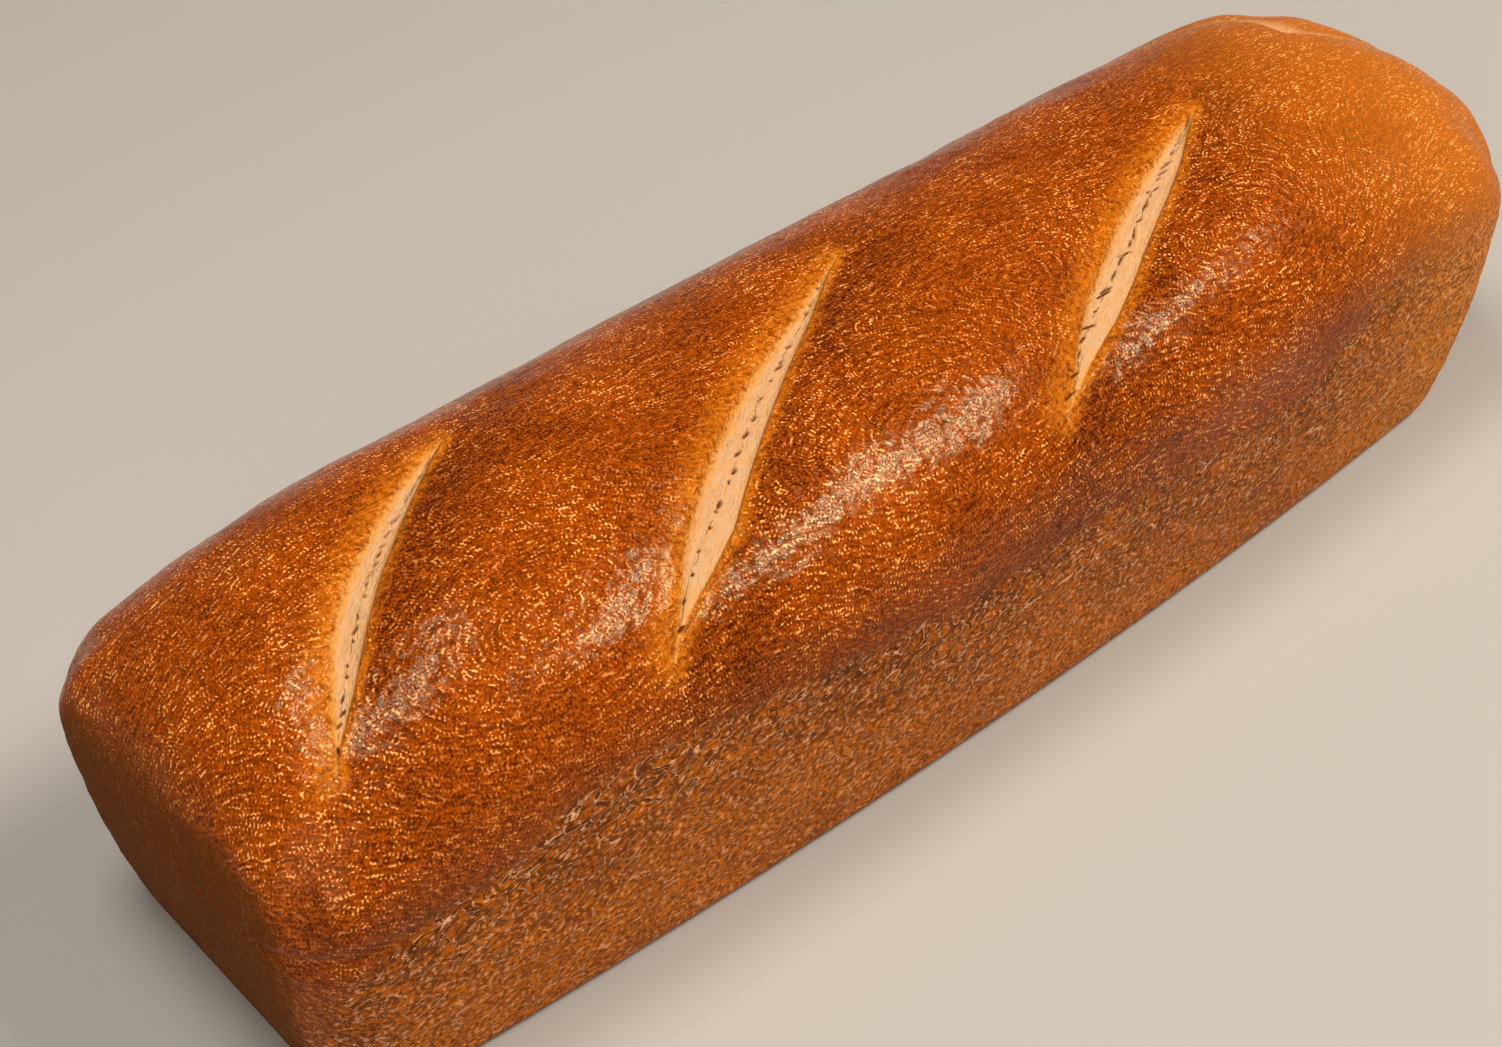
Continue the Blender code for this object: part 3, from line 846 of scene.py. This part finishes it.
def glaze_colour(tree, skin, blisters):
    """Colour of the egg-washed dome, with painted shade in its hollows and painted glints on its paler
    blister crests.
    """
    add = partial(add_node, tree)
    tone = add("ShaderNodeMath", {0: blisters, 1: BLISTER_SHADE_TONE, 2: GLAZE_TONE}, operation="MULTIPLY_ADD")
    tone = add("ShaderNodeMath", {0: skin.streaks, 1: STREAK_TONE, 2: tone}, operation="MULTIPLY_ADD")
    tone = add("ShaderNodeMath", {0: skin.patches, 1: PATCH_TONE, 2: tone}, operation="MULTIPLY_ADD")
    deeper = add("ShaderNodeMapRange", {"Value": skin.inside, "From Min": -DEEPER_REACH,
                                        "From Max": -DEEPER_START}, interpolation_type="SMOOTHSTEP")
    high_side = add("ShaderNodeMath", {0: 1.0, 1: skin.low_side}, operation="SUBTRACT")
    deeper = add("ShaderNodeMath", {0: deeper, 1: high_side}, operation="MULTIPLY")
    tone = add("ShaderNodeMath", {0: deeper, 1: -DEEPER_TONE, 2: tone}, operation="MULTIPLY_ADD")
    colour = add("ShaderNodeMix", {0: tone, 6: linear_colour(GLAZE_DARK), 7: linear_colour(GLAZE_LIGHT)},
                 2, data_type="RGBA")

    far = add("ShaderNodeMath", {0: skin.far, 1: GLAZE_FAR_SHARE}, operation="MULTIPLY")
    crests_and_glints = add("ShaderNodeMapRange", {"Value": skin.blister_noise, "From Min": BLISTER_CREST[0],
                                        "From Max": BLISTER_CREST[1]}, interpolation_type="SMOOTHSTEP")
    patchy = add("ShaderNodeMapRange", {"Value": skin.patches, "From Min": CREST_PATCHES[0],
                                        "From Max": CREST_PATCHES[1], "To Min": CREST_SHARES[0],
                                        "To Max": CREST_SHARES[1]})
    crests_and_glints = add("ShaderNodeMath", {0: crests_and_glints, 1: patchy}, operation="MULTIPLY")
    flap = add("ShaderNodeMath", {0: skin.flap, 1: FLAP_SHARE}, operation="MULTIPLY")
    reach = add("ShaderNodeMapRange", {"Value": skin.low_side, "To Min": -HALO_HIGH_SIDE * HALO_REACH,
                                       "To Max": -HALO_REACH})
    halo = add("ShaderNodeMapRange", {"Value": skin.inside, "From Min": reach, "From Max": 0.0},
               interpolation_type="SMOOTHSTEP")
    streaky = add("ShaderNodeMath", {0: skin.streaks, 1: HALO_STREAKS, 2: HALO_SHARE},
                  operation="MULTIPLY_ADD")
    halo = add("ShaderNodeMath", {0: halo, 1: streaky}, operation="MULTIPLY")
    # Blister crests take a pale colour that is partly their own and partly painted glints
    for share, shade in ((far, GLAZE_FAR), (crests_and_glints, GLAZE_BLISTER_AND_GLINT), (flap, FLAP), (halo, HALO)):
        colour = add("ShaderNodeMix", {0: share, 6: colour, 7: linear_colour(shade)}, 2, data_type="RGBA")
    return colour


def glaze_finish(tree, skin):
    """Colour and relief of the egg-washed dome."""
    add = partial(add_node, tree)
    blisters = add("ShaderNodeMapRange", {"Value": skin.blister_noise, "From Min": BLISTER_EDGE[0],
                                          "From Max": BLISTER_EDGE[1]}, interpolation_type="SMOOTHSTEP")
    height = add("ShaderNodeMath", {0: blisters, 1: BLISTER_HEIGHT}, operation="MULTIPLY")
    height = add("ShaderNodeMath", {0: skin.lumps, 1: LUMP_HEIGHT, 2: height}, operation="MULTIPLY_ADD")
    calm = add("ShaderNodeMath", {0: skin.far, 1: -GLAZE_FAR_CALM, 2: 1.0}, operation="MULTIPLY_ADD")
    height = add("ShaderNodeMath", {0: height, 1: calm}, operation="MULTIPLY")
    return glaze_colour(tree, skin, blisters), height


def wall_lines(tree, skin):
    """Crests of the walls' wrinkles, which slant up towards high X, and the painted shadow lines beside
    them.
    """
    add = partial(add_node, tree)
    lines = {name: 0.0 for name in WALL_LINES}
    for slant, length, width in WALL_WRINKLES:
        turned = add("ShaderNodeMapping", {"Vector": skin.place, "Scale": (length, width, width),
                                           "Rotation": (WALL_LATTICE_TURN, -math.radians(slant), 0)},
                     vector_type="TEXTURE")
        field = add("ShaderNodeTexNoise", {"Vector": turned, "Scale": 1, "Detail": 0,
                                           "Distortion": WALL_DISTORTION})
        for name, (level, start, full) in WALL_LINES.items():
            away = add("ShaderNodeMath", {0: field, 1: level}, operation="SUBTRACT")
            away = add("ShaderNodeMath", {0: away}, operation="ABSOLUTE")
            line = add("ShaderNodeMapRange", {"Value": away, "From Min": start, "From Max": full},
                       interpolation_type="SMOOTHSTEP")
            lines[name] = add("ShaderNodeMath", {0: lines[name], 1: line}, operation="MAXIMUM")
    broken = add("ShaderNodeMapRange", {"Value": skin.lumps, "From Min": WALL_CREST_BREAKS[0],
                                        "From Max": WALL_CREST_BREAKS[1], "To Min": WALL_CREST_LEFT,
                                        "To Max": 1.0})
    crests_and_glints = add("ShaderNodeMath", {0: lines["crest"], 1: broken}, operation="MULTIPLY")
    return crests_and_glints, lines["groove"]


def wall_finish(tree, skin):
    """Colour and relief of the tin-baked crust, with painted highlights on its crests and painted shade
    in grooves and pits.
    """
    add = partial(add_node, tree)
    wrinkles, groove_shadows = wall_lines(tree, skin)
    strength = add("ShaderNodeMapRange", {"Value": skin.above_tin_line, "From Min": -WALL_CALM_DEPTH,
                                          "From Max": 0.0, "To Min": WALL_CALM_SHARE, "To Max": 1.0})
    calm = add("ShaderNodeMath", {0: skin.far, 1: -WALL_FAR_CALM, 2: 1.0}, operation="MULTIPLY_ADD")
    strength = add("ShaderNodeMath", {0: strength, 1: calm}, operation="MULTIPLY")

    grain = add("ShaderNodeTexNoise", {"Vector": skin.place, "Scale": 1 / WALL_PIT_WIDTH, "Detail": 0})
    pits = add("ShaderNodeMapRange", {"Value": grain, "From Min": WALL_PIT_EDGE[0],
                                      "From Max": WALL_PIT_EDGE[1]}, interpolation_type="SMOOTHSTEP")
    pits = add("ShaderNodeMath", {0: pits, 1: WALL_PIT_SHARE}, operation="MULTIPLY")
    specks = add("ShaderNodeMapRange", {"Value": grain, "From Min": WALL_SPECK_EDGE[0],
                                        "From Max": WALL_SPECK_EDGE[1]}, interpolation_type="SMOOTHSTEP")
    specks = add("ShaderNodeMath", {0: specks, 1: WALL_SPECK_SHARE}, operation="MULTIPLY")
    groove_shadows = add("ShaderNodeMath", {0: groove_shadows, 1: WALL_GROOVE_SHADOW_SHARE}, operation="MULTIPLY")
    groove_shadows = add("ShaderNodeMath", {0: groove_shadows, 1: strength}, operation="MULTIPLY")
    # Grooves beside the crests and the pits are painted dark, as painted shade
    shaded_hollows = add("ShaderNodeMath", {0: pits, 1: groove_shadows}, operation="MAXIMUM")
    crests_and_glints = add("ShaderNodeMath", {0: wrinkles, 1: WALL_CREST_SHARPNESS}, operation="POWER")
    crests_and_glints = add("ShaderNodeMath", {0: crests_and_glints, 1: strength}, operation="MULTIPLY")
    crests_and_glints = add("ShaderNodeMath", {0: crests_and_glints, 1: specks}, operation="MAXIMUM")

    tone = add("ShaderNodeMath", {0: skin.patches, 1: PATCH_TONE, 2: WALL_TONE}, operation="MULTIPLY_ADD")
    tone = add("ShaderNodeMath", {0: skin.streaks, 1: STREAK_TONE, 2: tone}, operation="MULTIPLY_ADD")
    tone = add("ShaderNodeMath", {0: strength, 1: -WALL_WRINKLE_TONE, 2: tone}, operation="MULTIPLY_ADD")
    colour = add("ShaderNodeMix", {0: tone, 6: linear_colour(WALL_DARK), 7: linear_colour(WALL_MIDDLE)},
                 2, data_type="RGBA")
    far = add("ShaderNodeMath", {0: skin.far, 1: WALL_FAR_SHARE}, operation="MULTIPLY")
    # Crests and specks are painted pale as painted highlights
    for share, shade in ((far, WALL_FAR), (shaded_hollows, WALL_HOLLOW_SHADE), (crests_and_glints, WALL_CREST_HIGHLIGHT)):
        colour = add("ShaderNodeMix", {0: share, 6: colour, 7: linear_colour(shade)}, 2, data_type="RGBA")

    height = add("ShaderNodeMath", {0: wrinkles, 1: WALL_WRINKLE_HEIGHT}, operation="MULTIPLY")
    height = add("ShaderNodeMath", {0: height, 1: strength}, operation="MULTIPLY")
    height = add("ShaderNodeMath", {0: shaded_hollows, 1: -WALL_PIT_DEPTH, 2: height}, operation="MULTIPLY_ADD")
    return colour, height


def crack_line(tree, skin):
    """The fine broken crack along the middle of each slash."""
    add = partial(add_node, tree)
    run = add("ShaderNodeSeparateXYZ", {0: skin.cut}, "X")
    bend = add("ShaderNodeMath", {0: run, 1: CRACK_BEND}, operation="DIVIDE")
    bend = add("ShaderNodeTexNoise", {"W": bend, "Scale": 1, "Detail": 2}, noise_dimensions="1D")
    bend = add("ShaderNodeMath", {0: bend, 1: NOISE_MIDDLE}, operation="SUBTRACT")
    away = add("ShaderNodeMath", {0: bend, 1: CRACK_WANDER, 2: skin.aside}, operation="MULTIPLY_ADD")
    away = add("ShaderNodeMath", {0: away}, operation="ABSOLUTE")
    crack = add("ShaderNodeMapRange", {"Value": away, "From Min": CRACK_WIDTH / 2,
                                       "From Max": CRACK_WIDTH / 6}, interpolation_type="SMOOTHSTEP")
    gaps = add("ShaderNodeMath", {0: run, 1: CRACK_BREAK}, operation="DIVIDE")
    gaps = add("ShaderNodeTexNoise", {"W": gaps, "Scale": 1, "Detail": 1}, noise_dimensions="1D")
    gaps = add("ShaderNodeMapRange", {"Value": gaps, "From Min": CRACK_GAPS[0],
                                      "From Max": CRACK_GAPS[1]})
    return add("ShaderNodeMath", {0: crack, 1: gaps}, operation="MULTIPLY")


def crumb_finish(tree, skin):
    """Colour, relief and extent of the crumb, crisp at a slash's high X edge and fading at the other.

    Its pores and crack are painted dark, as painted shade.
    """
    add = partial(add_node, tree)
    ragged = add("ShaderNodeMath", {0: skin.streak_noise, 1: NOISE_MIDDLE}, operation="SUBTRACT")
    ragged = add("ShaderNodeMath", {0: ragged, 1: skin.low_side}, operation="MULTIPLY")
    ragged = add("ShaderNodeMath", {0: ragged, 1: CRUMB_RAGGED, 2: skin.inside}, operation="MULTIPLY_ADD")
    reach = {}
    for name, (at_high_side, at_low_side) in CRUMB_REACH.items():
        reach[name] = add("ShaderNodeMapRange", {"Value": skin.low_side, "To Min": at_high_side,
                                                 "To Max": at_low_side})
    open_cut = add("ShaderNodeMapRange", {"Value": ragged, "From Min": reach["outer"],
                                          "From Max": reach["inner"]}, interpolation_type="SMOOTHSTEP")
    core = add("ShaderNodeMapRange", {"Value": ragged, "From Min": 0.0, "From Max": reach["core"]},
               interpolation_type="SMOOTHSTEP")

    fibre_size = (CRUMB_FIBRE_LENGTH, CRUMB_FIBRE_WIDTH, CRUMB_FIBRE_LENGTH)
    fibres = add("ShaderNodeMapping", {"Vector": skin.cut, "Scale": fibre_size}, vector_type="TEXTURE")
    fibres = add("ShaderNodeTexNoise", {"Vector": fibres, "Scale": 1, "Detail": 2,
                                        "Distortion": CRUMB_DISTORTION})
    torn = add("ShaderNodeMapRange", {"Value": fibres, "From Min": CRUMB_TORN[0],
                                      "From Max": CRUMB_TORN[1]})
    torn = add("ShaderNodeMath", {0: torn, 1: -CRUMB_TORN_TONE, 2: CRUMB_TONE}, operation="MULTIPLY_ADD")
    core = add("ShaderNodeMath", {0: core, 1: torn}, operation="MULTIPLY")
    crack = crack_line(tree, skin)
    crack = add("ShaderNodeMath", {0: crack, 1: open_cut}, operation="MULTIPLY")
    # Pores and the crack are painted dark, as painted shade
    shaded_hollows = add("ShaderNodeMath", {0: crack, 1: CRACK_SHARE}, operation="MULTIPLY")
    shaded_hollows = add("ShaderNodeMath", {0: skin.pore, 1: shaded_hollows}, operation="MAXIMUM")
    colour = add("ShaderNodeMix", {0: core, 6: linear_colour(CRUMB_EDGE), 7: linear_colour(CRUMB_CORE)},
                 2, data_type="RGBA")
    colour = add("ShaderNodeMix", {0: shaded_hollows, 6: colour, 7: linear_colour(PORE_SHADE)}, 2,
                 data_type="RGBA")

    height = add("ShaderNodeMath", {0: fibres, 1: -CRUMB_FIBRE_DEPTH}, operation="MULTIPLY")
    height = add("ShaderNodeMath", {0: crack, 1: -CRACK_DEPTH, 2: height}, operation="MULTIPLY_ADD")
    opened = add("ShaderNodeMath", {0: open_cut, 1: skin.pore}, operation="MAXIMUM")
    return colour, height, opened


def make_crust_material():
    """Baked bread crust: egg-washed on the dome, tin-baked on the walls and torn open at the slashes.

    The end wall facing low X is darkened as painted shade.
    """
    material, tree, shader = start_material("baked_bread_crust")
    add = partial(add_node, tree)
    skin = read_skin(tree)
    glaze, glaze_height = glaze_finish(tree, skin)
    wall, wall_height = wall_finish(tree, skin)
    crumb, crumb_height, opened = crumb_finish(tree, skin)

    wander = add("ShaderNodeMath", {0: skin.patches, 1: NOISE_MIDDLE}, operation="SUBTRACT")
    above_line = add("ShaderNodeMath", {0: wander, 1: LINE_WANDER, 2: skin.above_tin_line},
                     operation="MULTIPLY_ADD")
    on_dome = add("ShaderNodeMapRange", {"Value": above_line, "From Min": -LINE_BLEND,
                                         "From Max": LINE_BLEND}, interpolation_type="SMOOTHSTEP")
    # The end wall facing low X is darkened, as painted shade
    end_shade = add("ShaderNodeMath", {0: skin.faces_low_x, 1: END_SHADE_SHARE}, operation="MULTIPLY")
    glossy = add("ShaderNodeMapRange", {"Value": skin.above_tin_line, "From Min": 0.0,
                                        "From Max": GLAZE_EDGE_REACH, "To Min": GLAZE_EDGE_ROUGHNESS,
                                        "To Max": GLAZE_ROUGHNESS})

    colour = wall
    for share, shade in ((on_dome, glaze), (end_shade, linear_colour(END_SHADE)), (opened, crumb)):
        colour = add("ShaderNodeMix", {0: share, 6: colour, 7: shade}, 2, data_type="RGBA")
    rough = WALL_ROUGHNESS
    for share, value in ((on_dome, glossy), (skin.faces_low_x, END_ROUGHNESS),
                         (opened, CRUMB_ROUGHNESS)):
        rough = add("ShaderNodeMix", {0: share, 2: rough, 3: value}, data_type="FLOAT")
    height = wall_height
    for share, value in ((on_dome, glaze_height), (opened, crumb_height)):
        height = add("ShaderNodeMix", {0: share, 2: height, 3: value}, data_type="FLOAT")
    bump = add("ShaderNodeBump", {"Height": height, "Strength": 1, "Distance": 1}, "Normal")
    tree.links.new(colour, shader.inputs["Base Color"])
    tree.links.new(rough, shader.inputs["Roughness"])
    tree.links.new(bump, shader.inputs["Normal"])
    shader.inputs["IOR"].default_value = GLAZE_IOR
    shader.inputs["Specular Tint"].default_value = linear_colour(GLAZE_SHINE)
    return material


def make_floor():
    """A plain pale floor."""
    bpy.ops.object.select_all(action="DESELECT")
    bpy.ops.mesh.primitive_plane_add(size=FLOOR_SIZE)
    floor = bpy.context.object
    floor.name = "floor"
    material, _, shader = start_material("matt_pale_floor")
    shader.inputs["Base Color"].default_value = linear_colour(FLOOR_COLOUR)
    shader.inputs["Roughness"].default_value = FLOOR_ROUGHNESS
    floor.data.materials.append(material)


def add_area_light(name, direction, distance, size, power, colour):
    """A soft box that shines on the loaf from a direction."""
    data = bpy.data.lights.new(name, "AREA")
    data.shape = "RECTANGLE"
    data.size, data.size_y = size
    data.energy = power
    data.color = linear_colour(colour)[:3]
    light = bpy.data.objects.new(name, data)
    bpy.context.scene.collection.objects.link(light)
    light.location = Vector(direction).normalized() * distance
    light.rotation_euler = (-light.location).to_track_quat("-Z", "Y").to_euler()


def add_camera():
    """The camera, at the photograph's angle."""
    data = bpy.data.cameras.new("camera")
    data.lens = CAMERA_LENS
    data.sensor_width = CAMERA_SENSOR
    camera = bpy.data.objects.new("camera", data)
    bpy.context.scene.collection.objects.link(camera)
    place = Vector(CAMERA_PLACE)
    turn = (Vector(CAMERA_AIM) - place).to_track_quat("-Z", "Y").to_matrix().to_4x4()
    roll = Matrix.Rotation(math.radians(CAMERA_ROLL), 4, "Z")
    camera.matrix_world = Matrix.Translation(place) @ turn @ roll
    bpy.context.scene.camera = camera


def add_world():
    """Even pale light from all round."""
    world = bpy.data.worlds.new("studio")
    world.use_nodes = True
    sky = world.node_tree.nodes["Background"]
    sky.inputs["Color"].default_value = linear_colour(SKY_COLOUR)
    sky.inputs["Strength"].default_value = SKY_STRENGTH
    bpy.context.scene.world = world


add_camera()
add_world()
for settings in LIGHTS:
    add_area_light(*settings)
make_floor()
loaf = make_loaf()
loaf.data.materials.append(make_crust_material())
bpy.context.scene.view_settings.view_transform = "Standard"
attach(loaf, "root")
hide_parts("loaf")
